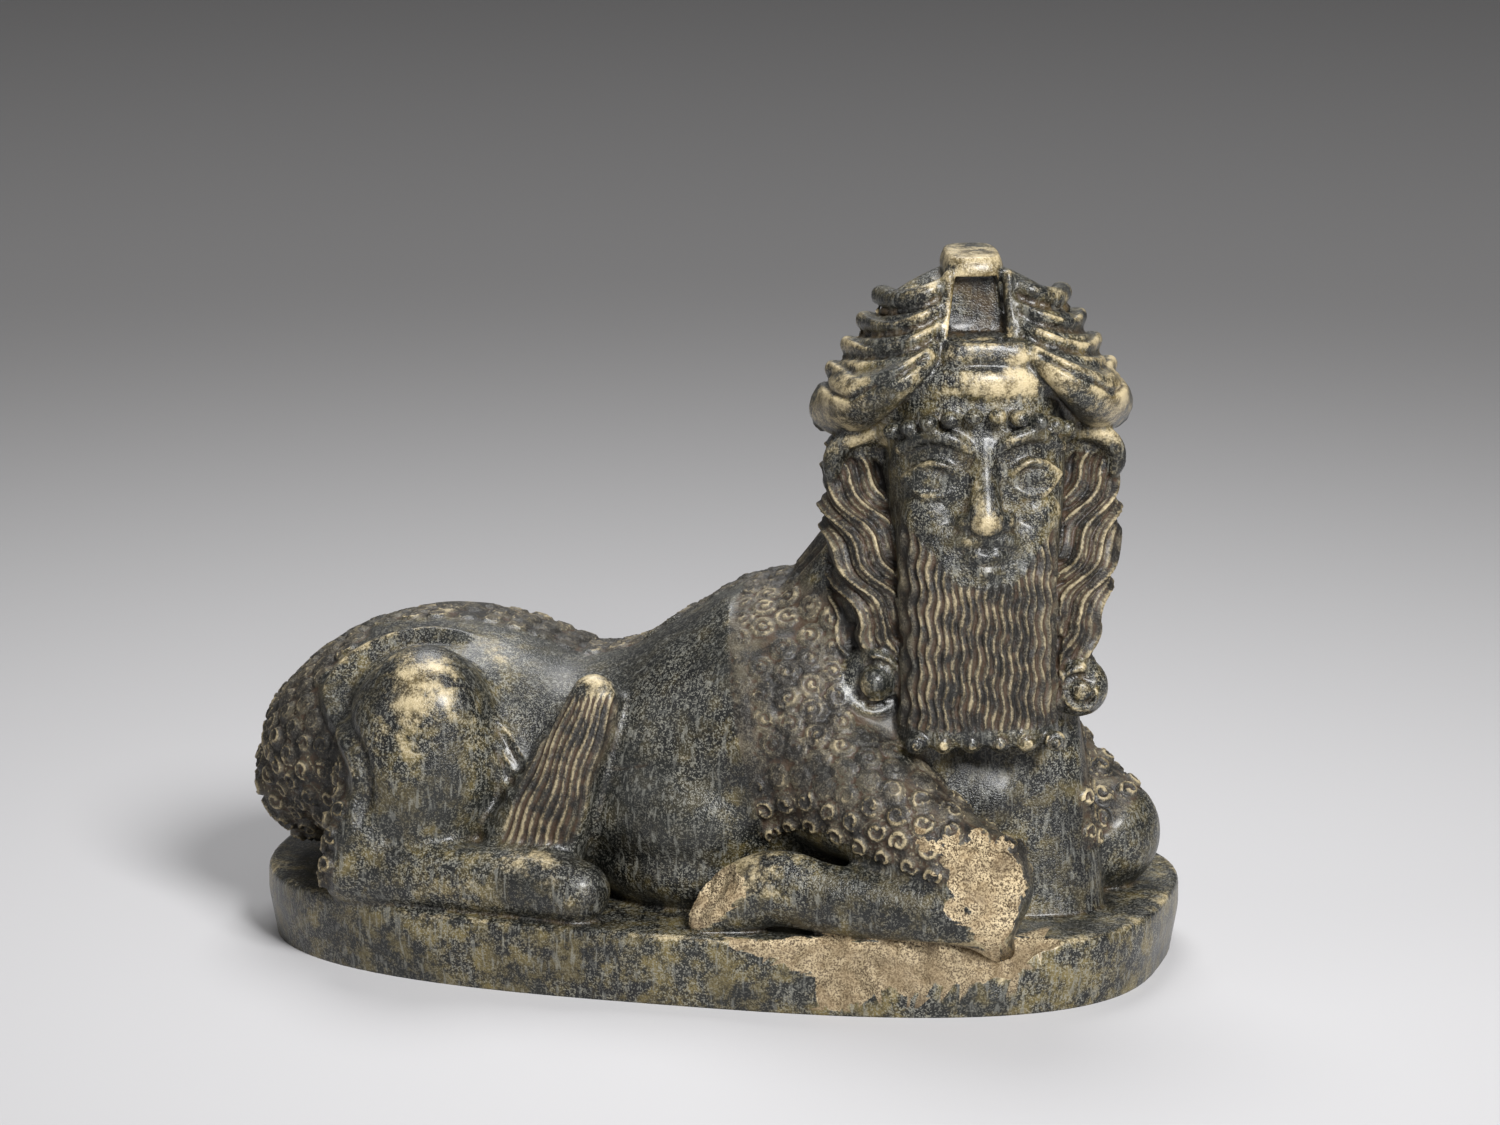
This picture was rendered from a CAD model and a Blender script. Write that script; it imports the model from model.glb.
"""A human-headed bull lying on an oval plinth, carved from one block of dark green stone and polished."""

import math

import bmesh
import bpy
import numpy as np
from mathutils import Matrix, Vector, noise
from mathutils.kdtree import KDTree


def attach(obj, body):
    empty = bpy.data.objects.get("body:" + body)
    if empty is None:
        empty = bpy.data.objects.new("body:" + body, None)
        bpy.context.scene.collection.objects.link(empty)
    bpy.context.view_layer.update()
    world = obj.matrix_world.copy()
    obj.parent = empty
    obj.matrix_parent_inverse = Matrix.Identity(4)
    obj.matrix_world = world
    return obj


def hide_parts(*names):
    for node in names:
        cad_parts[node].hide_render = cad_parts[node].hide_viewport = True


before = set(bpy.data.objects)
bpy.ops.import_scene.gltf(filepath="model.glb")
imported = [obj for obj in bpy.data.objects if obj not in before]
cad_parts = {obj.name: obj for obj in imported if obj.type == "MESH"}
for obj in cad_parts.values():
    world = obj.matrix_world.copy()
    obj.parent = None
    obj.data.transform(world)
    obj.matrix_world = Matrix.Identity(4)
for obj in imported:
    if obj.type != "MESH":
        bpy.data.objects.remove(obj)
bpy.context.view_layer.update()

# The plinth: the foot of the same block of stone, an oval slab with full corners and edges worn round.
# It is sawn flat underneath and rubbed smooth on top. The carving is drawn in millimetres, with z measured
# from the top of the plinth, x along the bull and y to its left.
plinth_height = 11.5
plinth_half_length = 73.0
plinth_half_width = 42.0
plinth_squareness = 2.8
plinth_undercut = 1.2
plinth_edge = 0.9
saw_allowance = 4.0
fine_voxel = 0.38
millimetre = 0.001


def ring(middle, across, upright, half_across, half_upright, squareness=2.0, count=28):
    """The points of one cross-section, an ellipse when its squareness is 2."""
    turn = np.arange(count) * 2 * math.pi / count
    c, s = np.cos(turn), np.sin(turn)
    a = np.sign(c) * np.abs(c) ** (2 / squareness) * half_across
    b = np.sign(s) * np.abs(s) ** (2 / squareness) * half_upright
    return np.asarray(middle) + np.outer(a, across) + np.outer(b, upright)


def closed(rings):
    """A closed form through rings of points, fanned shut at both ends."""
    count = len(rings[0])
    points = np.concatenate([*rings, rings[0].mean(0)[None], rings[-1].mean(0)[None]])
    faces = []
    for row in range(len(rings) - 1):
        low = row * count
        for i in range(count):
            j = (i + 1) % count
            faces.append((low + i, low + j, low + count + j, low + count + i))
    last = (len(rings) - 1) * count
    for i in range(count):
        j = (i + 1) % count
        faces.append((len(points) - 2, j, i))
        faces.append((len(points) - 1, last + i, last + j))
    return points, faces


plinth_rims = (
    (plinth_undercut, -plinth_height - saw_allowance),
    (plinth_undercut, -plinth_height),
    (0.0, -plinth_height * 0.4),
    (0.0, -plinth_edge),
    (plinth_edge * 0.3, -plinth_edge * 0.3),
    (plinth_edge, 0.0),
)
plinth = closed([
    ring((0, 0, z), (1, 0, 0), (0, 1, 0), plinth_half_length - inset, plinth_half_width - inset,
         plinth_squareness, 96)
    for inset, z in plinth_rims
])

# The bull's body: a long barrel that sinks behind the shoulder, with a heavy belly and a thick neck.
# The carver left the legs folded against it. Each row is x, y, z and the half width and half height there.
body_middle = -3.0


def smooth_path(rows, steps):
    """Catmull-Rom points through the rows."""
    rows = [np.asarray(row, float) for row in rows]
    rows = [2 * rows[0] - rows[1], *rows, 2 * rows[-1] - rows[-2]]
    path = []
    for a, b, c, d in zip(rows, rows[1:], rows[2:], rows[3:]):
        for step in range(steps):
            t = step / steps
            path.append(0.5 * (2 * b + (c - a) * t + (2 * a - 5 * b + 4 * c - d) * t**2
                               + (3 * b - a - 3 * c + d) * t**3))
    path.append(rows[-2])
    return np.array(path)


def swept(rows, side=None, squareness=2.0, count=28, steps=6, round_ends=True, bulge=1.0):
    """A closed form along rows of x, y, z, half width and half height, with its ends rounded off.

    side is the direction that the width is measured along; without it that is level.
    """
    path = smooth_path(rows, steps)
    stations = []
    for i, row in enumerate(path):
        along = path[min(i + 1, len(path) - 1), :3] - path[max(i - 1, 0), :3]
        along /= np.linalg.norm(along)
        across = np.cross(along, (0, 0, 1)) if side is None else np.array(side, float)
        across = across - along * across.dot(along)
        across /= np.linalg.norm(across)
        stations.append((row[:3], along, across, row[3], row[4]))
    rings = [ring(m, across, np.cross(along, across), a, b, squareness, count)
             for m, along, across, a, b in stations]
    if round_ends:
        for end, way in ((0, -bulge), (-1, bulge)):
            m, along, across, a, b = stations[end]
            for angle in (30, 60, 82):
                turn = math.radians(angle)
                middle = m + along * way * min(a, b) * math.sin(turn)
                more = ring(middle, across, np.cross(along, across), a * math.cos(turn),
                            b * math.cos(turn), squareness, count)
                rings = [more, *rings] if end == 0 else [*rings, more]
    return closed(rings)


round_ball = bmesh.new()
bmesh.ops.create_icosphere(round_ball, subdivisions=4, radius=1.0)
ball_points = np.array([vert.co[:] for vert in round_ball.verts])
ball_faces = [tuple(vert.index for vert in face.verts) for face in round_ball.faces]
round_ball.free()


def lump(middle, radii, turn=0.0, lean=0.0):
    """A rounded mass with the given half sizes, turned about z and leaning about its own y."""
    way = np.array(Matrix.Rotation(turn, 3, "Z") @ Matrix.Rotation(lean, 3, "Y"))
    return (ball_points * radii) @ way.T + np.asarray(middle), ball_faces


level = (0, 1, 0)
trunk = swept([
    (-67.0, body_middle, 10.5, 15.0, 10.5),
    (-62.0, body_middle, 14.2, 21.0, 16.2),
    (-51.0, body_middle, 18.2, 25.0, 20.0),
    (-38.0, body_middle, 18.6, 25.5, 20.6),
    (-22.0, body_middle, 16.6, 25.0, 18.4),
    (-8.0, body_middle, 18.0, 25.5, 19.8),
    (4.0, body_middle, 21.5, 26.5, 23.2),
    (15.0, body_middle, 24.0, 27.5, 26.0),
    (27.0, body_middle, 21.0, 25.5, 23.0),
    (38.0, body_middle, 17.0, 21.0, 18.0),
    (46.0, body_middle - 2, 14.0, 16.0, 15.0),
], level, 2.3, count=40, bulge=0.75)
belly = lump((1.0, body_middle, 14.5), (27.0, 29.3, 18.0))
under_belly = lump((1.0, body_middle, 6.0), (23.0, 28.4, 12.0))
shoulder = lump((21.0, body_middle, 23.0), (15.0, 28.5, 18.0))
neck = swept([
    (20.0, body_middle, 31.0, 23.5, 19.0),
    (28.5, body_middle, 44.0, 18.6, 16.6),
    (36.0, body_middle, 56.0, 15.5, 16.0),
    (40.0, body_middle, 68.0, 14.0, 15.0),
], level, 2.2)
throat = lump((41.0, 5.0, 39.0), (14.5, 14.0, 15.0))

# The head stands on its own upright axis and looks out to the bull's right side, so the block of the chest
# under the beard turns with it. Head measures are u across the face, w out of it, and z.
head_axis = np.array((41.0, -3.0))
head_turn = math.radians(20.0)
across_face = np.array((math.cos(head_turn), math.sin(head_turn)))
out_of_face = np.array((math.sin(head_turn), -math.cos(head_turn)))
face_side = (*across_face, 0.0)
face_front = (*out_of_face, 0.0)


def on_head(rows):
    """Rows that begin with u, w, z, turned into rows that begin with x, y, z."""
    rows = np.atleast_2d(np.array(rows, float))
    flat = head_axis + np.outer(rows[:, 0], across_face) + np.outer(rows[:, 1], out_of_face)
    return np.column_stack([flat, rows[:, 2:]])


chest = swept([
    (44.0, -4.5, 34.0, 14.0, 12.0),
    (48.0, -6.5, 22.0, 13.0, 10.5),
    (50.5, -8.0, 9.0, 12.6, 9.5),
    (51.5, -8.5, -2.0, 13.0, 10.0),
], face_side, 2.5, round_ends=False)

# The folded hind legs: a great rounded thigh, the stifle standing out on it, and the foot laid flat.
# Both sides are cut alike, and the far one is left plainer.
hind_legs = []
for side in (-1, 1):
    out = body_middle + side * 21.0
    thigh_height, stifle_height = (19.8, 28.5) if side < 0 else (17.0, 23.0)
    foot_out = body_middle + side * 29.5
    hind_legs += [
        lump((-42.5, out + side, thigh_height), (13.6, 12.5, thigh_height), lean=math.radians(5)),
        lump((-40.5, out + side * (4.0 if side < 0 else 1.5), stifle_height), (9.5, 8.2, 9.8)),
        lump((-50.0, foot_out - side, 9.0), (6.5, 6.5, 10.0)),
        lump((-30.0, body_middle + side * 21.0, 10.5), (8.0, 6.0, 7.0)),
        swept([
            (-52.0, foot_out + side * 0.5, 4.5, 5.0, 5.5),
            (-38.0, foot_out + side * 1.5, 4.8, 5.0, 5.2),
            (-22.0, foot_out + side * 3.0, 5.0, 5.0, 5.4),
            (-13.5, foot_out + side * 3.5, 4.2, 5.2, 5.0),
        ], None, 2.5),
    ]

# The folded forelegs: the upper arm comes down from the shoulder to the knee, and the lower leg lies back
# along the plinth with its hoof behind. The far knee stands out in front of the chest.
right_foreleg = [
    swept([
        (19.0, -20.0, 24.0, 11.5, 14.0),
        (33.0, -26.5, 18.5, 9.5, 10.0),
        (46.5, -30.5, 11.5, 7.8, 7.4),
    ]),
    swept([
        (51.0, -33.0, 4.5, 5.5, 6.5),
        (39.0, -35.2, 4.8, 4.1, 5.2),
        (26.0, -35.2, 6.0, 4.4, 5.6),
        (18.0, -35.0, 7.0, 4.8, 6.2),
        (10.0, -35.6, 4.0, 4.8, 5.0),
        (6.5, -36.0, 1.5, 4.5, 2.5),
    ]),
    lump((50.5, -30.5, 8.8), (7.4, 8.0, 8.8)),
]
left_foreleg = [
    swept([
        (36.0, 11.5, 26.5, 12.0, 13.6),
        (49.0, 11.0, 15.8, 10.5, 10.2),
        (60.5, 7.0, 9.0, 9.0, 8.8),
    ]),
    swept([
        (60.0, 12.0, 5.0, 6.0, 6.0),
        (46.0, 22.0, 5.0, 4.5, 5.2),
        (30.0, 26.5, 6.5, 4.6, 5.6),
        (18.0, 27.5, 5.0, 4.8, 5.2),
        (10.0, 28.0, 2.0, 4.5, 3.0),
    ]),
    lump((61.0, 5.5, 8.3), (9.4, 9.4, 9.6)),
    lump((37.0, 9.0, 24.0), (15.0, 15.0, 17.5)),
]

# The tail comes up between the thigh and the belly and ends in a brush of hair laid flat on the flank.
tail = swept([
    (-23.0, -29.0, 9.0, 8.5, 4.0),
    (-19.5, -30.0, 17.0, 6.5, 3.4),
    (-16.0, -28.5, 26.0, 4.8, 3.3),
    (-13.6, -25.4, 33.5, 4.0, 3.4),
], (1, 0, 0), 2.6)

# Fusing: the masses are one piece of stone, so they are merged into one skin at a fine grid, and their
# inner corners are rubbed soft, the body more than the head.


def fused(forms, voxel, rubbing, name):
    """One skin round all the forms, as an object."""
    points, faces, start = [], [], 0
    for form_points, form_faces in forms:
        points.append(form_points)
        faces += [tuple(start + i for i in face) for face in form_faces]
        start += len(form_points)
    mesh = bpy.data.meshes.new(name)
    mesh.from_pydata(np.concatenate(points).tolist(), [], faces)
    skin = bpy.data.objects.new(name, mesh)
    bpy.context.scene.collection.objects.link(skin)
    remesh = skin.modifiers.new("one_skin", "REMESH")
    remesh.mode = "VOXEL"
    remesh.voxel_size = voxel
    if rubbing:
        rub = skin.modifiers.new("rubbed", "SMOOTH")
        rub.factor = 0.5
        rub.iterations = rubbing
    return worked(skin)


def worked(skin):
    """The object with its modifiers made real."""
    graph = bpy.context.evaluated_depsgraph_get()
    mesh = bpy.data.meshes.new_from_object(skin.evaluated_get(graph))
    skin.modifiers.clear()
    skin.data = mesh
    return skin


def read_points(mesh, what="co"):
    values = np.empty(len(mesh.vertices) * 3, np.float32)
    mesh.vertices.foreach_get(what, values)
    return values.reshape(-1, 3).astype(np.float64)


def as_form(skin):
    """The skin's own points and faces, to be fused again with finer forms."""
    corners = np.empty(len(skin.data.loops), np.int32)
    skin.data.loops.foreach_get("vertex_index", corners)
    form = read_points(skin.data), [tuple(face) for face in corners.reshape(-1, 4).tolist()]
    bpy.data.objects.remove(skin)
    return form


body_voxel = 0.75
body_rubbing = 11
body = as_form(fused(
    [trunk, belly, under_belly, shoulder, neck, throat, chest,
     *hind_legs, *right_foreleg, *left_foreleg, tail],
    body_voxel, body_rubbing, "body_block",
))

# The head in the rough: the front of the face, the deep squared beard, the back of the skull and the nape,
# with the ears, which are a bull's, standing out level under the crown's edge.
head_voxel = 0.5
head_rubbing = 7
head_rough = [
    swept(on_head([
        (0, 4.0, 84.0, 12.5, 12.5),
        (0, 5.0, 78.0, 13.4, 13.2),
        (0, 5.5, 71.0, 14.0, 13.6),
        (0, 6.0, 63.0, 13.6, 13.8),
        (0, 7.0, 55.0, 12.8, 14.0),
    ]), face_side, 2.7),
    swept(on_head([
        (-0.2, 8.5, 61.0, 12.8, 12.2),
        (-0.4, 10.0, 54.0, 12.6, 12.6),
        (-0.5, 11.5, 44.0, 12.4, 12.0),
        (-0.6, 12.5, 34.0, 12.6, 11.3),
        (-0.6, 13.0, 28.2, 13.2, 11.0),
    ]), face_side, 3.4, round_ends=False),
    lump(on_head((0, -5.0, 68.0))[0], (19.0, 15.0, 22.0), head_turn),
    lump(on_head((0, -6.0, 52.0))[0], (18.0, 12.5, 18.0), head_turn),
]
for side in (-1, 1):
    head_rough.append(lump(on_head((side * 18.0, 4.4, 71.2))[0], (5.2, 2.0, 4.2), head_turn))
    head_rough.append(swept(on_head([
        (side * 13.6, 5.0, 74.6, 1.5, 1.6),
        (side * 17.6, 6.8, 75.6, 1.5, 1.7),
        (side * 21.4, 6.8, 73.6, 1.5, 1.7),
        (side * 22.2, 6.2, 69.8, 1.4, 1.6),
        (side * 18.6, 5.8, 66.8, 1.3, 1.5),
        (side * 14.8, 5.2, 67.6, 1.1, 1.2),
    ]), face_front, count=14))
head_block = as_form(fused(head_rough, head_voxel, head_rubbing, "head_block"))

# The face: brows, lidded eyes, a straight nose and closed lips, calm and even, cut on the usual
# proportions of a carved head: the eyes halfway up, the mouth a third of the way from nose to chin.
features = [
    swept(on_head([
        (0, 17.2, 75.8, 2.5, 1.9),
        (0, 18.5, 71.0, 2.2, 2.2),
        (0, 20.2, 67.2, 2.5, 2.6),
        (0, 21.4, 64.6, 3.0, 2.6),
    ]), face_side),
    swept(on_head([
        (-4.8, 20.0, 58.4, 0.5, 0.5),
        (-1.8, 21.9, 59.3, 1.0, 1.1),
        (0.0, 22.1, 59.0, 0.9, 1.0),
        (1.8, 21.9, 59.3, 1.0, 1.1),
        (4.8, 20.0, 58.4, 0.5, 0.5),
    ])),
    swept(on_head([
        (-4.3, 20.2, 57.7, 0.5, 0.5),
        (0.0, 22.0, 56.6, 1.2, 1.1),
        (4.3, 20.2, 57.7, 0.5, 0.5),
    ])),
    swept(on_head([
        (-7.8, 18.6, 60.2, 0.8, 0.9),
        (-3.6, 20.8, 61.3, 1.2, 1.3),
        (0.0, 21.4, 61.7, 1.2, 1.2),
        (3.6, 20.8, 61.3, 1.2, 1.3),
        (7.8, 18.6, 60.2, 0.8, 0.9),
    ])),
]
for side in (-1, 1):
    features += [
        swept(on_head([
            (side * 2.2, 18.6, 75.3, 0.9, 0.9),
            (side * 5.0, 18.4, 77.0, 1.1, 1.1),
            (side * 8.8, 17.2, 77.3, 1.1, 1.1),
            (side * 12.6, 13.8, 74.6, 0.9, 0.9),
        ])),
        swept(on_head([
            (side * 3.4, 18.3, 70.0, 0.55, 0.55),
            (side * 5.6, 19.0, 72.7, 0.6, 0.6),
            (side * 8.8, 18.3, 73.2, 0.6, 0.6),
            (side * 12.2, 15.9, 70.7, 0.55, 0.55),
        ])),
        swept(on_head([
            (side * 3.4, 18.3, 70.0, 0.5, 0.5),
            (side * 6.5, 18.9, 68.3, 0.55, 0.55),
            (side * 9.8, 17.9, 68.4, 0.55, 0.55),
            (side * 12.2, 15.9, 70.7, 0.5, 0.5),
        ])),
        lump(on_head((side * 7.6, 16.4, 70.7))[0], (4.0, 2.4, 2.5), head_turn),
        lump(on_head((side * 2.9, 20.0, 64.2))[0], (1.7, 2.0, 1.6), head_turn),
        lump(on_head((side * 7.6, 14.6, 64.0))[0], (5.0, 5.0, 5.4), head_turn),
    ]

# The side locks: four thick wavy strands fall beside the beard and roll up in one great curl each.
# A row of small round curls closes the beard's lower edge.


def coil(u, w, z, radius, strand, turns, start, sense):
    """A strand wound in towards a boss, in the plane of the face."""
    rows = []
    steps = int(10 * turns) + 1
    for i in range(steps):
        share = i / (steps - 1)
        reach = (radius - strand) * (1 - share) + strand * 0.55 * share
        angle = start + sense * 2 * math.pi * turns * share
        rows.append((u + reach * math.cos(angle), w + share * strand * 0.7, z + reach * math.sin(angle),
                     strand, strand))
    return swept(on_head(rows), None, 2.0, count=14, steps=3)


locks = []
lock_paths = {}
great_curls = {-1: (-16.6, 38.4), 1: (15.6, 36.0)}
for side in (-1, 1):
    inward = 0.0 if side < 0 else 0.9
    lock_paths[side] = on_head([
        (side * (18.2 - inward), -1.0, 71.0, 4.6, 4.6),
        (side * (18.4 - inward), 4.0, 63.5, 5.6, 5.6),
        (side * (17.4 - inward), 8.6, 54.5, 5.3, 5.8),
        (side * (15.8 - inward), 11.4, 46.0, 4.4, 5.2),
        (side * (15.2 - inward * 0.5), 12.4, 40.0, 3.6, 4.4),
    ])
    locks.append(swept(lock_paths[side], face_side, 2.6))
    curl_u, curl_z = great_curls[side]
    locks.append(lump(on_head((curl_u, 13.4, curl_z))[0], (4.8, 4.4, 4.8)))
    boss = 2.3 if side < 0 else 1.6
    locks.append(coil(curl_u, 17.0, curl_z, 4.9, 1.0, 1.25, math.pi / 2, side))
    locks.append(lump(on_head((curl_u, 17.2, curl_z))[0], (boss, boss, boss)))
beard_curls = []
beard_edge = 29.7
curl_middles = [-10.9 + 4.36 * i for i in range(6)]
for i, u in enumerate(curl_middles):
    beard_curls.append(lump(on_head((u, 22.6, beard_edge))[0], (1.7, 1.6, 1.7)))
    beard_curls.append(coil(u, 23.7, beard_edge, 1.95, 0.42, 1.0, 0.5 * i, 1))
    beard_curls.append(lump(on_head((u, 23.9, beard_edge))[0], (0.6, 0.8, 0.6)))

# The horned crown: a cap with a rolled edge and a sunk front panel under a knob, and five pairs of horns
# laid round it from the panel to the sides, the lowest pair much the thickest. A string of beads lies below.
crown = [
    swept(on_head([
        (0, -3.0, 74.0, 18.5, 17.0),
        (0, -3.0, 80.0, 20.0, 18.0),
        (0, -3.0, 85.5, 18.8, 15.4),
        (0, -2.6, 90.0, 15.8, 11.2),
        (0, -1.6, 94.0, 12.0, 8.0),
        (0, 0.4, 98.0, 6.4, 5.2),
    ]), face_side, 2.1, count=36, bulge=0.15),
    swept(on_head([
        (0, -0.5, 80.0, 21.0, 7.0),
        (0, -0.5, 84.6, 19.8, 7.0),
        (0, -0.5, 88.5, 17.4, 6.4),
        (0, -0.3, 92.4, 15.0, 5.6),
        (0, 0.0, 96.2, 12.2, 4.8),
        (0, 0.6, 99.4, 6.4, 4.2),
    ]), face_side, 2.4, count=32, round_ends=False),
]


def crown_block(u, w, z, half_width, half_depth, half_height, squareness=5.0):
    """A block with rounded edges, square to the face."""
    rows = [(u, w, z + way * half_height, half_width * size, half_depth * size)
            for way, size in ((-1, 0.86), (0, 1.0), (1, 0.86))]
    return swept(on_head(rows), face_side, squareness, round_ends=False)


crown += [
    crown_block(-0.4, 3.0, 94.0, 4.2, 6.6, 7.6),
    crown_block(-0.4, 3.4, 101.4, 4.7, 7.2, 2.3, 3.4),
    crown_block(0.8, 12.0, 89.2, 7.0, 4.4, 2.2),
]
cap_edge = []
for angle in range(-100, 101, 20):
    turn = math.radians(angle)
    arch = 85.0 - 5.0 * math.sin(turn / 2) ** 2
    cap_edge.append((14.6 * math.sin(turn), 0.5 + 14.6 * math.cos(turn), arch, 3.0, 3.1))
crown.append(swept(on_head(cap_edge), None, 2.2, count=20, steps=3))
horn_lines = {-1: [], 1: []}


def horn(side, root, root_out, tip, tip_height, thickness, root_size=0.62):
    """One horn: from beside the panel, out and round to a blunt tip at the side."""
    middle_height = root[2] * 0.42 + tip_height * 0.58
    reach = tip - thickness
    rows = [
        (side * root[0], root[1], root[2], thickness * root_size, thickness * (root_size + 0.08)),
        (side * (root[0] * 0.62 + reach * 0.38), root[1] + root_out,
         root[2] * 0.72 + tip_height * 0.28 - 0.4, thickness * (0.49 + root_size / 2),
         thickness * (0.49 + root_size / 2)),
        (side * (root[0] * 0.22 + reach * 0.78), root[1] * 0.62 + 1.2, middle_height - 1.0,
         thickness * 0.95, thickness * 0.95),
        (side * reach, 1.0, tip_height, thickness, thickness),
    ]
    horn_lines[side].append(np.array(rows))
    return swept(on_head(rows), face_front, 2.3, count=18)


for side in (-1, 1):
    crown.append(swept(on_head([
        (side * 4.6, 9.2, 100.8, 0.9, 1.3),
        (side * 4.8, 10.4, 96.0, 0.9, 1.3),
        (side * 5.6, 12.2, 91.0, 1.0, 1.4),
    ]), face_side, 2.4, count=16))
    for row in range(4):
        low = row / 3
        root = (5.2 + 2.4 * low, 8.8 + 4.4 * low, 99.4 - 9.0 * low)
        tip, tip_height = 15.8 + 7.2 * low, 96.2 - 11.6 * low
        crown.append(horn(side, root, 0.9 + 0.6 * low, tip, tip_height, 1.75 + 0.2 * low))
    crown.append(horn(side, (8.8, 14.4, 89.4), 1.4, 25.4, 78.8, 4.8, 0.34))
bead_places = []
bead_count = 10
for i in range(bead_count):
    turn = math.radians(-60 + 120 * i / (bead_count - 1))
    arch = 80.9 - 5.0 * math.sin(turn) ** 2
    bead_places.append(on_head((15.6 * math.sin(turn), 4.8 + 15.2 * math.cos(turn), arch))[0])
    crown.append(lump(bead_places[-1], (1.5, 1.6, 1.35), head_turn + turn))

# The whole statuette in the round: the rough masses and the finer forms merged into one skin.
statuette = fused([body, head_block, plinth, *features, *locks, *beard_curls, *crown],
                  fine_voxel, 2, "human_headed_bull_carved")
points = read_points(statuette.data)
outward = read_points(statuette.data, "normal")

# Cut lines on the flanks: the raised border round each thigh, the folds of skin before it and the band behind
# the fleece. Each is drawn once, in x and z as seen on the near flank, and laid on the stone of both sides.


def rise(value, low, high):
    """0 below low, 1 above high and a smooth rise between."""
    t = np.clip((value - low) / (high - low), 0.0, 1.0)
    return t * t * (3 - 2 * t)


def toward_viewer_side(p):
    """x and z of each flank point, carried along the slant that the lines are drawn on."""
    gap = 23.0 - np.abs(p[:, 1] - body_middle)
    return p[:, 0] + 0.268 * gap, p[:, 2] + 0.307 * gap


drawn_x, drawn_z = toward_viewer_side(points)


def on_flank(line, side):
    """The drawn line laid on the stone of one flank, as points in space."""
    flank = np.flatnonzero((points[:, 1] - body_middle) * side > 2.0)
    laid = []
    for x, z in smooth_path(line, 5):
        close = flank[np.hypot(drawn_x[flank] - x, drawn_z[flank] - z) < 0.7]
        if len(close):
            laid.append(points[close[np.argmax(points[close, 1] * side)]])
    laid = np.array(laid)
    for _ in range(3):
        laid[1:-1] = 0.5 * laid[1:-1] + 0.25 * (laid[:-2] + laid[2:])
    return laid


def line_distance(p, path):
    """How far each point is from a path in space, and how far along the path, from 0 to 1."""
    best = np.full(len(p), 1e9)
    share = np.zeros(len(p))
    lengths = np.linalg.norm(np.diff(path, axis=0), axis=1)
    run = np.concatenate([[0], np.cumsum(lengths)]) / lengths.sum()
    for i, (a, b) in enumerate(zip(path, path[1:])):
        t = np.clip(((p - a) @ (b - a)) / max((b - a) @ (b - a), 1e-9), 0, 1)
        gap = np.linalg.norm(p - a - np.outer(t, b - a), axis=1)
        near = gap < best
        best[near] = gap[near]
        share[near] = run[i] + t[near] * (run[i + 1] - run[i])
    return best, share


def cut_line(line, height, width, tapered=0.12):
    """Raises a ridge along a drawn line, or cuts a groove where height is below 0, fading at its ends."""
    for side in (-1, 1):
        path = on_flank(line, side)
        low, high = path.min(0) - width * 3, path.max(0) + width * 3
        near = np.flatnonzero(((points > low) & (points < high)).all(1))
        gap, share = line_distance(points[near], path)
        fade = np.minimum(rise(share, 0.0, tapered), rise(-share, -1.0, -1.0 + tapered))
        moved[near] += height * np.exp(-((gap / width) ** 2)) * fade


thigh_border = [(-30.4, 42.4), (-40.6, 43.4), (-48, 41.6), (-53.9, 38.3), (-58.1, 33.1), (-57.7, 28.2),
                (-54.9, 22.7), (-52.9, 17.9), (-53.4, 12.1), (-54.8, 7)]
thigh_groove = [(-33.0, 40.6), (-38.4, 42.0), (-45.8, 41.0), (-51.6, 37.7), (-55.2, 31.9), (-54.1, 25.4),
                (-51.6, 20.0), (-51.2, 13.0), (-52.4, 7.4)]
front_folds = [
    [(-31.2, 30.4), (-29.0, 28.2), (-27.0, 26.2), (-25.4, 23.4), (-24.3, 20.0)],
    [(-31.4, 27.6), (-29.4, 25.4), (-27.8, 22.8), (-26.6, 20.2), (-25.8, 17.4)],
    [(-31.2, 24.4), (-29.9, 22.2), (-28.8, 19.8), (-28.0, 17.2), (-27.6, 14.6)],
]
collar = [(6.5, 55.3), (7.5, 51.3), (8.8, 46.1), (9.6, 38.1), (10.1, 31.7), (11.2, 23.7), (12.4, 17.3),
          (12.7, 11.2)]
old_scratch = [(-12.6, 21.6), (-8.8, 22.5), (-2.4, 23.9)]
moved = np.zeros(len(points))
cut_line(thigh_border, 0.9, 1.1)
cut_line(thigh_groove, -0.8, 1.2)
for fold in front_folds:
    cut_line(fold, 0.8, 0.75, 0.3)
cut_line(collar, 0.6, 1.7)
cut_line(old_scratch, -0.25, 0.4, 0.3)

# The fleece: the curly coat on the neck, shoulders, upper arms, spine and rump. It was cut as rows of small
# snail curls, each a low round boss with a rim wound round it.
curl_spacing = 4.3
curl_radius = 2.15


def head_measures(p):
    """u, w and z of the head."""
    flat = p[:, :2] - head_axis
    return flat @ across_face, flat @ out_of_face, p[:, 2]


def lock_share(p):
    """1 on the side locks."""
    gap = np.minimum.reduce([line_distance(p, path[:, :3])[0] for path in lock_paths.values()])
    return rise(-gap, -6.9, -6.2)


def great_curl_share(p):
    """1 on the two great curls, which are left smooth."""
    u, w, z = head_measures(p)
    gap = np.minimum.reduce([np.hypot(u - curl_u, z - curl_z) for curl_u, curl_z in great_curls.values()])
    return rise(-gap, -5.5, -5.1) * rise(w, 11.0, 13.0)


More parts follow.
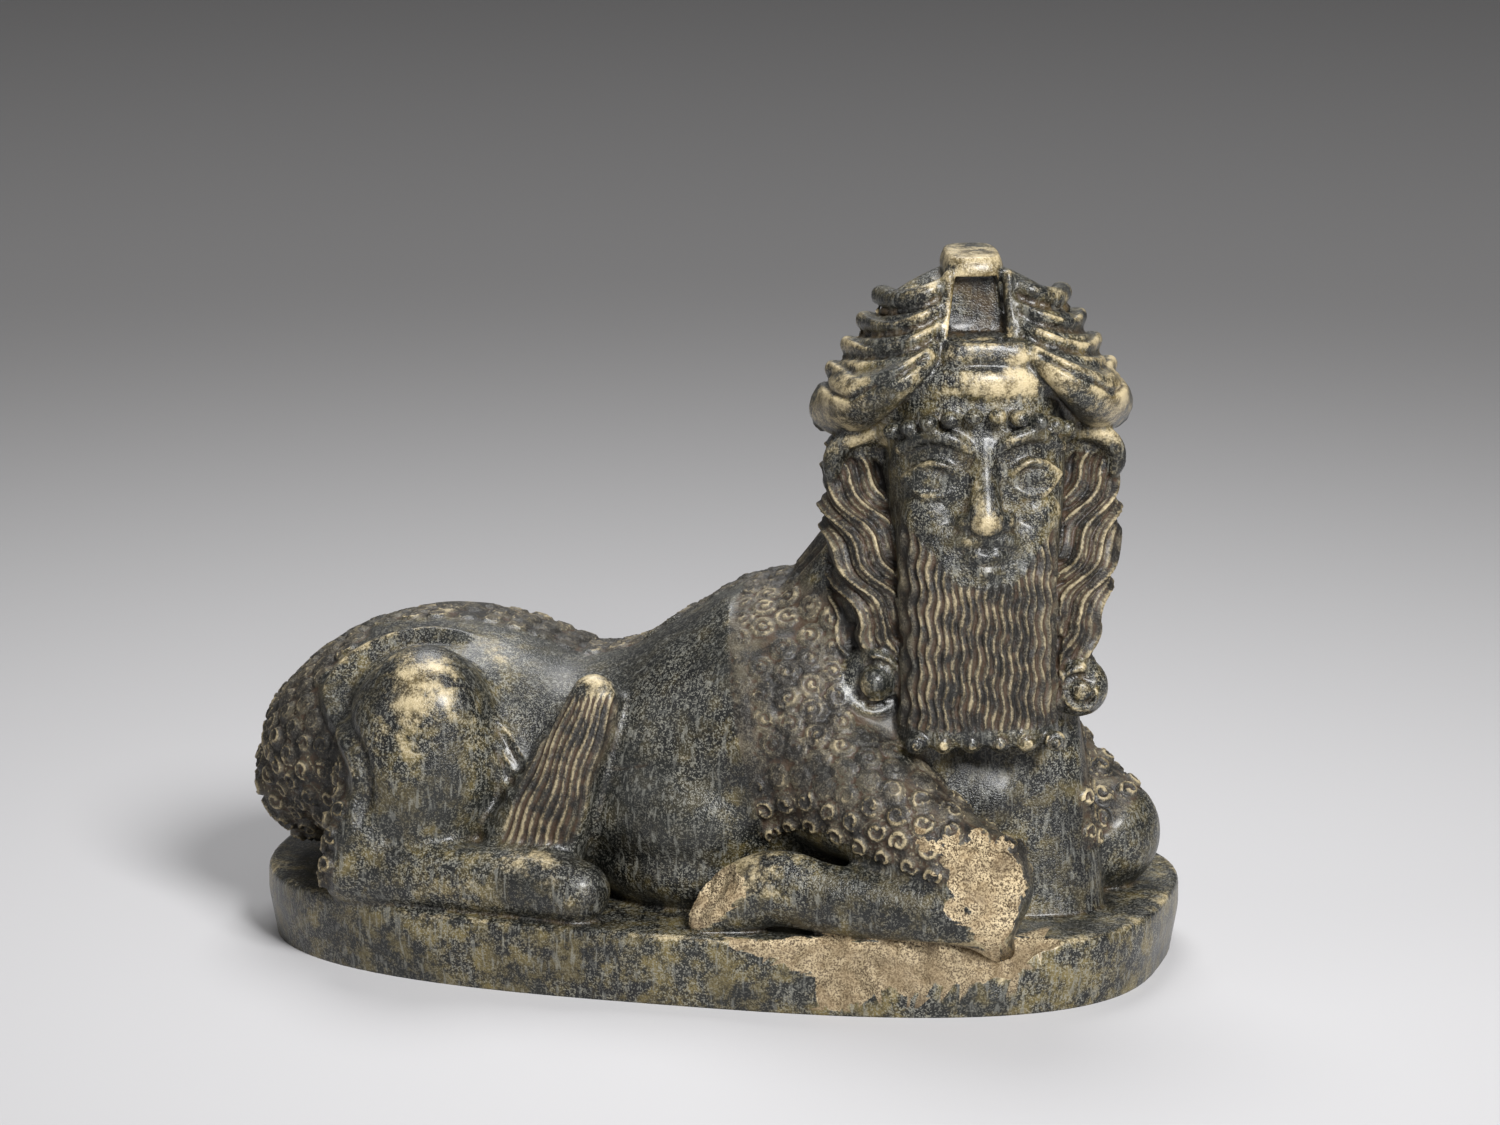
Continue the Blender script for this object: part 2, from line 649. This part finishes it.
def fleece_share(p):
    """1 where the stone is carved as fleece."""
    x, y, z = p.T
    u, w, _ = head_measures(p)
    arm_edge = np.interp(x, (10, 17, 22, 43, 52), (9.5, 14.5, 16.4, 11.2, 9.5))
    arm_edge = np.where(y > 0, 11.0, arm_edge)
    front = rise(x * 0.968 + z * 0.249 - 17.2, 0.0, 0.8) * rise(z, arm_edge - 0.5, arm_edge + 0.5)
    past_knees = rise(x * 0.8 - z * 0.6, 44.0, 45.5)
    chest_front = rise(w, 4.0, 6.0) * rise(-w, -18.5, -17.5)
    chest_front *= rise(u, -9.0, -8.0) * rise(-u, -17.5, -16.0)
    face_area = rise(w, 7.0, 9.0) * rise(-np.abs(u), -14.0, -13.0) * rise(z, 26.0, 28.0)
    front = front * (1 - past_knees) * (1 - chest_front) * (1 - face_area) * (1 - lock_share(p))
    front = front * (1 - great_curl_share(p))
    spine = rise(-np.abs(y - 3.0), -9.0, -7.5) * rise(z, 28.0, 30.0) * rise(x, -60.0, -55.0)
    slant_x, slant_z = toward_viewer_side(p)
    border = np.interp(slant_z, (0, 7, 12, 18, 22.7, 28.2, 33, 38.3, 41.6, 46),
                       (-55.5, -54.8, -53.4, -52.5, -54.9, -57.7, -58.1, -53.9, -50, -50))
    rump = rise(border - 1.4 - slant_x, -0.5, 0.5) * rise(z, 0.8, 2.0)
    return np.maximum(np.maximum(front, spine), rump) * rise(-z, -52.0, -50.5)


def fleece_rows(p):
    """A value that rises by a curl's width from row to row, along the neck and fanned round the rump."""
    x, y, z = p.T
    rump = np.arctan2(z - 2.0, -42.0 - x) * 32.0
    return np.where(x < -42.0, rump, x * 0.968 + z * 0.249 + 200.0)


def search_tree(chosen):
    """The chosen points, ordered so that the nearest are found fast."""
    order = KDTree(len(chosen))
    for index in chosen:
        order.insert(points[index], index)
    order.balance()
    return order


fleece = fleece_share(points)
fleece_tree = search_tree(np.flatnonzero(fleece > 0.02))
rows = fleece_rows(points) / (curl_spacing * 0.87)
row = np.floor(rows)
around = np.arctan2(points[:, 2] - 16.0, body_middle - points[:, 1])
candidates = np.flatnonzero((fleece > 0.95) & (np.abs(rows - row - 0.5) < 0.1))
taken = np.zeros(len(points), bool)
curls = []
for index in candidates[np.lexsort((around[candidates], row[candidates]))]:
    if not taken[index]:
        curls.append(index)
        for _, near, _ in fleece_tree.find_range(points[index], curl_spacing * 0.93):
            taken[near] = True
moved -= 0.35 * fleece
chance = np.random.default_rng(7)
for index in curls:
    found = fleece_tree.find_range(points[index], curl_radius)
    near = np.array([i for _, i, _ in found])
    here = points[near] - points[index]
    out = outward[index]
    first = np.cross(out, (0.2, 0.0, 1.0))
    first /= np.linalg.norm(first)
    second = np.cross(out, first)
    a, b = here @ first, here @ second
    r = np.hypot(a, b)
    start = chance.uniform(0, 2 * math.pi)
    x, _, z = points[index]
    worn = rise(z, 18.0, 30.0) * (0.45 + 0.55 * rise(x, -10.0, 10.0))
    height = chance.uniform(0.8, 1.15) * (1 - 0.22 * worn)
    angle = np.mod(np.arctan2(b, a) - start, 2 * math.pi) / (2 * math.pi)
    ridge = curl_radius * (0.30 + 0.40 * angle)
    wound = 0.45 * (1 - (r / curl_radius) ** 2) + 0.75 * np.exp(-(((r - ridge) / 0.40) ** 2))
    wound += 0.35 * np.exp(-((r / 0.45) ** 2))
    groove = curl_radius * (0.22 + 0.36 * angle)
    disc = 0.95 * (1 - (r / curl_radius) ** 4) - 0.55 * np.exp(-(((r - groove) / 0.34) ** 2))
    stamp = wound + (disc - wound) * worn
    moved[near] = np.maximum(moved[near], (stamp * height - 0.35) * rise(curl_radius - r, 0.0, 0.4))

# Grooves of the crown and the curls: the carver parted the horns, wound the great curls and ringed the six
# curls of the beard's edge with a fine point, and these lines still hold dirt.
u, w, z = head_measures(points)
for side, lines in horn_lines.items():
    for upper, lower in zip(lines, lines[1:]):
        lean = upper[:, 3:4] / (upper[:, 3:4] + lower[:, 3:4])
        between = upper[:, :3] + (lower[:, :3] - upper[:, :3]) * lean
        between = np.concatenate([between, between[-1:] + (side * 3.0, -1.0, 0.3)])
        between[:, 1] = 0.0
        near = np.flatnonzero((u * side > 4.5) & (z > 76) & (z < 101) & (w > -3.0))
        flat = np.column_stack([u[near], np.zeros(len(near)), z[near]])
        gap, share = line_distance(flat, smooth_path(between, 6))
        moved[near] -= 0.75 * np.exp(-((gap / 0.5) ** 2)) * rise(share, 0.0, 0.08)
for side, (curl_u, curl_z) in great_curls.items():
    r = np.hypot(u - curl_u, z - curl_z)
    angle = np.mod(np.arctan2(z - curl_z, (u - curl_u) * side) + 1.2, 2 * math.pi) / (2 * math.pi)
    groove = 3.1 + 0.5 * angle if side < 0 else 1.7 + 2.2 * angle
    moved -= 0.85 * np.exp(-(((r - groove) / 0.5) ** 2)) * rise(w, 13.0, 15.0)
for curl_u in curl_middles:
    r = np.hypot(u - curl_u, z - beard_edge)
    ringed = np.exp(-(((r - 1.15) / 0.32) ** 2)) + np.exp(-((r / 0.3) ** 2))
    moved -= 0.4 * ringed * rise(w, 21.5, 22.5)

# Strands: the beard, the side locks, the hair behind and the tail's brush, combed into fine wavy ridges by
# hand. The beard's strands run straight down, and the locks' slant in towards it.


def strand_waves(across, along, pitch, sway):
    """Ridges that repeat across and sway from side to side along their run."""
    phase = (across + sway * np.sin(along * 0.55 + across * 0.45)) / pitch
    return np.cos(2 * math.pi * phase)


def beard_share(p):
    u, w, z = head_measures(p)
    top = np.interp(np.abs(u), (0, 4.5, 8.0, 12.0), (55.0, 55.5, 60.0, 64.0))
    inside = rise(-np.abs(u), -13.6, -12.4) * rise(w, 14.0, 16.0)
    return inside * rise(z, 31.4, 32.4) * rise(top - z, 0.0, 1.5)


def brush_share(p):
    x, y, z = p.T
    middle = -24.5 + 0.3 * z
    inside = rise(-np.abs(x - middle), -6.5, -4.8) * rise(-y, 25.0, 27.0)
    return inside * rise(z, 10.0, 12.0) * rise(-z, -35, -33)


def back_hair_share(p):
    u, w, z = head_measures(p)
    return rise(-w, -3.0, -1.0) * rise(z, 51.0, 52.0) * rise(-z, -77.0, -76.0) * (1 - lock_share(p))


def lock_run(u, z):
    """Across the side locks' strands, which slant in towards the beard as they fall."""
    slant = 0.75 * np.maximum(z - 47.0, 0) + 0.15 * np.minimum(z - 47.0, 0)
    return np.abs(u) - slant + 0.9 * np.sin(z * 0.60 + np.abs(u) * 0.15)


locked = lock_share(points) * rise(w, -3.0, 0.0) * rise(z, 38.0, 42.0) * (1 - great_curl_share(points))
beard_waves = 0.34 * strand_waves(u, z * 1.8, 1.26, 0.26) + 0.14 * strand_waves(u, z * 2.2, 3.1, 0.5)
moved += beard_share(points) * beard_waves
moved += locked * (0.62 * np.cos(2 * math.pi * lock_run(u, z) / 3.6)
                   + 0.26 * np.cos(2 * math.pi * lock_run(u, z) / 1.2) - 0.3)
turned = np.arctan2(u, -w) * 15.0
moved += back_hair_share(points) * 0.35 * strand_waves(turned, z, 1.9, 0.5)
brush_spread = (points[:, 0] + 24.5 - 0.3 * z) * np.interp(z, (10, 34), (0.75, 1.25))
moved += brush_share(points) * (0.30 * strand_waves(brush_spread, z, 1.25, 0.25)
                                + 0.12 * strand_waves(brush_spread, z * 1.5, 2.7, 0.3))
points += outward * moved[:, None]

# The crown's front panel: one smooth plane, cut back inside its frame.
panel = rise(np.interp(z, (91, 100.5), (5.0, 3.4)) - np.abs(u + 0.4), 0.0, 0.5) * rise(w, 4.0, 5.0)
panel *= rise(z, 91.6, 92.1) * rise(-z, -100.9, -100.4)
panel_plane = np.interp(z, (91.0, 101.0), (9.4, 7.4))
points[:, :2] -= np.outer(np.clip(w - panel_plane, 0.0, None) * panel, out_of_face)

# Old breaks: the plinth's front edge and corner, the right knee and the right hoof are knocked away to rough
# planes, where the stone shows pale and grainy. Each plane is given by the way it faces and a point on it,
# and keeps to the stone nearer than one y and between two x and two z.
knocked_off = (
    ((0.42, -0.86, 0.30), (49.5, -37.0, 9.0), -25.0, (40.0, 66.0), (0.4, 19.0)),
    ((-0.50, -0.66, 0.55), (7.5, -38.5, 3.0), -33.0, (0.0, 14.5), (0.4, 11.0)),
)
# The plinth's broken edge: at each x, the y where it starts on top and where it would come out below.
edge_x = (11, 13, 20, 25.2, 26.2, 46, 50, 55, 62, 67, 70)
edge_top = (-44.0, -41.0, -38.6, -38.0, -37.2, -36.0, -33.0, -29.2, -28.0, -25.6, -31)
edge_foot = (-62, -58, -50, -45, -41.0, -38.6, -39.0, -41.5, -49.0, -52, -60)


def rough_stone(p, which):
    """The unevenness of a broken face, in millimetres."""
    uneven = np.zeros(len(p))
    for i in np.flatnonzero(which):
        spot = Vector(p[i])
        for depth, pitch in ((1.7, 0.15), (0.9, 0.4), (0.45, 1.1)):
            uneven[i] += depth * noise.noise(spot * pitch)
    return uneven


broken = np.zeros(len(points))
near_edge = (points[:, 1] < -20) & (points[:, 0] > 10) & (points[:, 2] < 0.8)
break_start = np.interp(points[:, 0], edge_x, edge_top)
slope = (np.interp(points[:, 0], edge_x, edge_foot) - break_start) / plinth_height
length = np.sqrt(1 + slope**2)
over = -(points[:, 1] - break_start + slope * points[:, 2]) / length
over = np.where(near_edge, over - rough_stone(points, near_edge & (over > -1.5)), -9.0)
away = np.stack([np.zeros(len(points)), -1 / length, -slope / length], -1)
points -= np.clip(over, 0, None)[:, None] * away
broken[over > -0.1] = 1.0
for normal, through, nearest_y, between_x, between_z in knocked_off:
    normal = np.array(Vector(normal).normalized())
    inside = (points[:, 1] < nearest_y) & (points[:, 0] > between_x[0]) & (points[:, 0] < between_x[1])
    inside &= (points[:, 2] > between_z[0]) & (points[:, 2] < between_z[1])
    over = np.where(inside, (points - through) @ normal - rough_stone(points, inside), -9.0)
    points -= np.outer(np.clip(over, 0, None), normal)
    broken[over > -0.1] = 1.0

# Wear and dirt follow the carving: edges are rubbed pale and hollows hold dirt. Both are measured here on
# the full carving, as the gap between the skin and a softened copy of it.
statuette.data.vertices.foreach_set("co", points.astype(np.float32).ravel())
statuette.data.update()
outward = read_points(statuette.data, "normal")
measures = {}
for name, reach in (("fine_hollow", 0.93), ("broad_hollow", 3.4)):
    soft = statuette.modifiers.new("softened", "SMOOTH")
    soft.factor = 0.5
    soft.iterations = max(1, round((reach / fine_voxel) ** 2))
    graph = bpy.context.evaluated_depsgraph_get()
    softened = read_points(statuette.evaluated_get(graph).data)
    measures[name] = ((softened - points) * outward).sum(-1)
    statuette.modifiers.clear()
x, y, z = points.T
flank_area = rise(x, -33.0, -24.0) * rise(-x, -12.0, -4.0) * rise(z, 4.0, 8.0)
measures["flank"] = flank_area * (1 - brush_share(points))
measures["plinth"] = rise(-z, 0.2, 1.5)
measures["fleece"] = fleece
measures["broken"] = broken
measures["combed"] = np.maximum.reduce([beard_share(points), brush_share(points), locked,
                                        back_hair_share(points)])
# The places that hands and knocks have rubbed most, each with its reach.
handled_spots = (
    (on_head((3.5, 15.5, 85.0))[0], 6.5), (on_head((-0.4, 7.0, 103.0))[0], 5.0),
    (on_head((-20.0, 6.0, 81.0))[0], 7.0), (on_head((20.0, 8.0, 82.0))[0], 7.0),
    (on_head((0.0, 22.5, 64.5))[0], 3.4), ((-41.0, -30.0, 35.0), 7.5), ((-20.0, -38.0, 10.0), 6.0),
    ((14.0, -38.0, 11.0), 5.0), ((60.0, 0.0, 16.0), 5.0), ((-13.5, -27.0, 36.0), 3.6),
)


def round_spots(spots):
    """1 at the middle of each spot, fading over its reach."""
    gaps = [np.linalg.norm(points - np.asarray(spot), axis=1) / reach for spot, reach in spots]
    return np.maximum.reduce([np.exp(-(gap**2)) for gap in gaps])


dark_beads = round_spots([(place, 2.2) for place in bead_places])
measures["handled"] = round_spots(handled_spots) - 1.3 * dark_beads
full_tree = search_tree(range(len(points)))

# The finished skin: thinned to what its detail needs, freed of loose scraps, sawn flat underneath and brought
# to its real size.
most_triangles = 196000
thin = statuette.modifiers.new("thinned", "DECIMATE")
thin.ratio = min(1.0, most_triangles / (2 * len(statuette.data.polygons)))
worked(statuette)
skin = bmesh.new()
skin.from_mesh(statuette.data)
seen = set()
scraps = []
for start in skin.verts:
    if start not in seen:
        group, front = {start}, [start]
        while front:
            for link in front.pop().link_edges:
                for other in link.verts:
                    if other not in group:
                        group.add(other)
                        front.append(other)
        seen |= group
        scraps.append(group)
for group in sorted(scraps, key=len)[:-1]:
    bmesh.ops.delete(skin, geom=list(group), context="VERTS")
cut = bmesh.ops.bisect_plane(
    skin, geom=[*skin.verts, *skin.edges, *skin.faces], dist=0.001, plane_co=(0, 0, -plinth_height),
    plane_no=(0, 0, 1), clear_inner=True)
rim = [item for item in cut["geom_cut"] if isinstance(item, bmesh.types.BMEdge)]
base = bmesh.ops.holes_fill(skin, edges=rim, sides=0)["faces"]
for face in skin.faces:
    face.smooth = True
for face in base:
    face.smooth = False
bmesh.ops.triangulate(skin, faces=skin.faces)
skin.to_mesh(statuette.data)
skin.free()
final = read_points(statuette.data)
nearest = [full_tree.find(point)[1] for point in final]
for name, values in measures.items():
    layer = statuette.data.attributes.new(name, "FLOAT", "POINT")
    layer.data.foreach_set("value", values[nearest].astype(np.float32))
to_size = Matrix.Translation((0, 0, plinth_height * millimetre)) @ Matrix.Scale(millimetre, 4)
statuette.data.transform(to_size)

# The stone's finish: a dark green-black stone, polished where it is smooth, flecked with grey and mottled
# with yellow-green, rubbed cream on its edges and brown with old dirt in its hollows.
finish = bpy.data.materials.new("dark_green_stone")
finish.use_nodes = True
tree = finish.node_tree


class Channel:
    """A socket of the finish, with the sums that are worked on it."""

    def __init__(self, socket):
        self.socket = socket

    @staticmethod
    def node(kind, settings=None, **sockets):
        """A node of the given kind: its settings first, then the values or links of its sockets."""
        made = tree.nodes.new(kind)
        for name, value in (settings or {}).items():
            setattr(made, name, value)
        for name, value in sockets.items():
            slot = made.inputs[int(name[1:]) if name[1:].isdigit() else name.replace("_", " ")]
            if isinstance(value, Channel):
                tree.links.new(value.socket, slot)
            else:
                slot.default_value = value
        return made

    def sum(self, operation, other, turned=False):
        pair = (other, self) if turned else (self, other)
        made = Channel.node("ShaderNodeMath", {"operation": operation}, _0=pair[0], _1=pair[1])
        return Channel(made.outputs[0])

    def __add__(self, other):
        return self.sum("ADD", other)

    __radd__ = __add__

    def __sub__(self, other):
        return self.sum("SUBTRACT", other)

    def __rsub__(self, other):
        return self.sum("SUBTRACT", other, turned=True)

    def __mul__(self, other):
        return self.sum("MULTIPLY", other)

    __rmul__ = __mul__

    def between(self, low, high):
        """0 below low, 1 above high and a smooth rise between."""
        made = Channel.node("ShaderNodeMapRange", {"interpolation_type": "SMOOTHSTEP"},
                            _0=self, _1=low, _2=high, _3=0.0, _4=1.0)
        return Channel(made.outputs[0])

    def blend(self, below, above):
        """The colour below where this is 0 and the colour above where it is 1."""
        made = Channel.node("ShaderNodeMix", {"data_type": "RGBA"}, _0=self, _6=below, _7=above)
        return Channel(made.outputs[2])


def measured(name):
    return Channel(Channel.node("ShaderNodeAttribute", {"attribute_name": name}).outputs["Fac"])


# The grain is drawn in millimetres of the stone itself.
place_in_stone = Channel.node("ShaderNodeTexCoord").outputs["Object"]
stone_mm = Channel(Channel.node("ShaderNodeVectorMath", {"operation": "SCALE"},
                                _0=Channel(place_in_stone), _3=1 / millimetre).outputs[0])


def clouds(per_mm, detail=3.0, roughness=0.55, stretch=(1.0, 1.0, 1.0)):
    """Soft mottling between 0 and 1, with so many clouds to the millimetre."""
    spot = Channel(Channel.node("ShaderNodeVectorMath", {"operation": "MULTIPLY"},
                                _0=stone_mm, _1=stretch).outputs[0])
    made = Channel.node("ShaderNodeTexNoise",
                        Vector=spot, Scale=per_mm, Detail=detail, Roughness=roughness)
    return Channel(made.outputs[0])


fine_hollow = measured("fine_hollow")
broad_hollow = measured("broad_hollow")
in_fleece_area = measured("fleece")
in_break = measured("broken")
combed = measured("combed")
handled = measured("handled")
flank = measured("flank")
plinth_side = measured("plinth")

broad_mottle = clouds(0.055, 4.0)
small_mottle = clouds(0.28, 5.0, 0.62)
patches = clouds(0.09, 5.0, 0.6)
flecks = clouds(1.8, 3.0, 0.62)
grit = clouds(3.6, 1.0, 0.5)
scratches = clouds(1.5, 1.0, 0.5, (1.0, 1.0, 0.16))
carved_area = (in_fleece_area + combed).between(0.0, 1.0)
plain_area = 1.0 - carved_area

black_stone = (0.002, 0.0024, 0.0024, 1)
green_black = (0.010, 0.011, 0.009, 1)
olive_stone = (0.145, 0.112, 0.038, 1)
silver_grey = (0.27, 0.265, 0.225, 1)
scratch_grey = (0.26, 0.26, 0.23, 1)
body_colour = broad_mottle.between(0.38, 0.66).blend(black_stone, green_black)
speckled_mottle = small_mottle + 0.22 * (flecks - 0.5) + 0.22 * (grit - 0.5)
olive = speckled_mottle.between(0.42, 0.66) * (0.35 + 0.65 * patches.between(0.42, 0.60))
olive = olive * (0.90 - 0.65 * flank) + 0.30 * plinth_side * speckled_mottle.between(0.38, 0.60)
body_colour = olive.blend(body_colour, olive_stone)
silver = (0.6 * flecks + 0.4 * grit).between(0.51, 0.60) * (0.20 + 0.42 * patches.between(0.40, 0.62))
body_colour = silver.blend(body_colour, silver_grey)
brushed = scratches.between(0.56, 0.70) * (0.10 + 0.50 * small_mottle)
body_colour = (brushed * plain_area).blend(body_colour, scratch_grey)

# Worn stone is cream on edges and high places, and grey-brown where it is carved fine.
dark_ochre = (0.15, 0.108, 0.040, 1)
cream = (0.58, 0.475, 0.285, 1)
fleece_brown = (0.016, 0.012, 0.008, 1)
fleece_grey = (0.095, 0.080, 0.058, 1)
worn_colour = speckled_mottle.between(0.34, 0.64).blend(dark_ochre, cream)
fleece_colour = speckled_mottle.between(0.36, 0.64).blend(fleece_brown, fleece_grey)
body_colour = (carved_area * (0.45 + 0.4 * patches.between(0.40, 0.62))).blend(body_colour, fleece_colour)
edge_wear = 0.24 * (small_mottle - 0.5) + 0.20 * (patches - 0.5) + 0.10 * (flecks - 0.5) - fine_hollow
wear = (edge_wear + 0.09 * handled).between(0.05, 0.19)
body_colour = (wear * (0.88 - 0.26 * in_fleece_area - 0.42 * combed)).blend(body_colour, worn_colour)
high_wear = 1.6 * (patches - 0.50) + 1.1 * (small_mottle - 0.5) + 0.5 * (flecks - 0.5) - broad_hollow
high_wear = high_wear + 0.65 * handled - 0.35 * flank - 0.45 * carved_area - 0.30 * plinth_side
body_colour = (high_wear.between(0.25, 0.80) * 0.72).blend(body_colour, worn_colour)

# Old dirt lies in the hollows.
soot = (0.005, 0.004, 0.003, 1)
brown_earth = (0.050, 0.027, 0.013, 1)
dirt = (fine_hollow + 0.06 * (flecks - 0.5) + 0.03 * combed).between(0.005, 0.09)
dirt_colour = small_mottle.between(0.4, 0.6).blend(soot, brown_earth)
body_colour = (dirt * (0.55 + 0.40 * carved_area)).blend(body_colour, dirt_colour)

# Broken stone is pale and grainy, and browner along the plinth.
grain_brown = (0.065, 0.042, 0.021, 1)
grain_cream = (0.56, 0.45, 0.28, 1)
break_ochre = (0.20, 0.135, 0.066, 1)
break_brown = (0.115, 0.080, 0.045, 1)
plinth_break = (0.120, 0.085, 0.045, 1)
grain = (0.5 * flecks + 0.5 * grit).between(0.38, 0.60)
break_colour = grain.blend(grain_brown, grain_cream)
break_colour = (small_mottle.between(0.42, 0.62) * 0.6).blend(break_colour, break_ochre)
break_colour = (patches.between(0.52, 0.66) * 0.7).blend(break_colour, break_brown)
break_colour = (0.45 * plinth_side).blend(break_colour, plinth_break)
body_colour = in_break.between(0.35, 0.65).blend(body_colour, break_colour)

gloss = 0.35 + 0.20 * carved_area + 0.25 * (small_mottle - 0.5) + 0.35 * in_break + 0.10 * flecks
skin_height = 0.5 * flecks + 0.5 * grit
bump = Channel.node("ShaderNodeBump", Strength=0.9, Distance=0.00020, Height=skin_height)
shader = tree.nodes["Principled BSDF"]
tree.links.new(body_colour.socket, shader.inputs["Base Color"])
tree.links.new(gloss.socket, shader.inputs["Roughness"])
tree.links.new(bump.outputs[0], shader.inputs["Normal"])
polish = (0.24 - 0.16 * carved_area) * (1.0 - in_break)
tree.links.new(polish.socket, shader.inputs["Coat Weight"])
shader.inputs["Coat Roughness"].default_value = 0.20
statuette.data.materials.append(finish)
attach(statuette, "root")
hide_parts("human_headed_bull")

# The floor: one pale grey sheet, a little darker away from the statuette.
floor_mesh = bpy.data.meshes.new("pale_floor")
floor_mesh.from_pydata([(-6, -6, 0), (6, -6, 0), (6, 6, 0), (-6, 6, 0)], [], [(0, 1, 2, 3)])
floor_sheet = bpy.data.objects.new("pale_floor", floor_mesh)
bpy.context.scene.collection.objects.link(floor_sheet)
paper = bpy.data.materials.new("pale_paper")
paper.use_nodes = True
tree = paper.node_tree
sheet_spot = Channel(Channel.node("ShaderNodeTexCoord").outputs["Object"])
reach = Channel.node("ShaderNodeVectorMath", {"operation": "LENGTH"}, _0=sheet_spot)
away = Channel(reach.outputs["Value"])
paper_colour = away.between(0.0, 0.55).blend((0.515, 0.51, 0.52, 1), (0.165, 0.162, 0.163, 1))
tree.links.new(paper_colour.socket, tree.nodes["Principled BSDF"].inputs["Base Color"])
tree.nodes["Principled BSDF"].inputs["Roughness"].default_value = 0.9
floor_mesh.materials.append(paper)

# The light: one wide soft lamp from the upper right, a weak one from the left, and an even grey room.


def lamp(name, spot, aim, width, power):
    data = bpy.data.lights.new(name, "AREA")
    data.shape = "DISK"
    data.size = width
    data.energy = power
    made = bpy.data.objects.new(name, data)
    bpy.context.scene.collection.objects.link(made)
    made.location = spot
    made.rotation_euler = (Vector(aim) - Vector(spot)).to_track_quat("-Z", "Y").to_euler()
    return made


lamp("main_lamp", (0.50, -0.60, 0.62), (0, 0, 0.05), 0.34, 14.5)
lamp("side_lamp", (-0.9, -0.7, 0.7), (0, 0, 0.05), 0.9, 2.0)
lamp("back_lamp", (-0.15, 0.45, 0.85), (0, 0, 0.05), 0.5, 5.0)
room = bpy.data.worlds.new("grey_room")
room.use_nodes = True
room.node_tree.nodes["Background"].inputs["Color"].default_value = (0.5, 0.5, 0.5, 1)
room.node_tree.nodes["Background"].inputs["Strength"].default_value = 0.30
bpy.context.scene.world = room
bpy.context.scene.view_settings.view_transform = "Standard"

# The camera: a long lens a little above the statuette, looking at its right side from the front.
eye = Vector((0.2978, -1.1114, 0.3408))
look_at = Vector((0.0, 0.0175, 0.0571))
camera_data = bpy.data.cameras.new("camera")
camera_data.sensor_width = 36.0
camera_data.lens = 178.73
camera_data.clip_start = 0.01
camera = bpy.data.objects.new("camera", camera_data)
bpy.context.scene.collection.objects.link(camera)
camera.location = eye
camera.rotation_euler = (look_at - eye).to_track_quat("-Z", "Y").to_euler()
bpy.context.scene.camera = camera
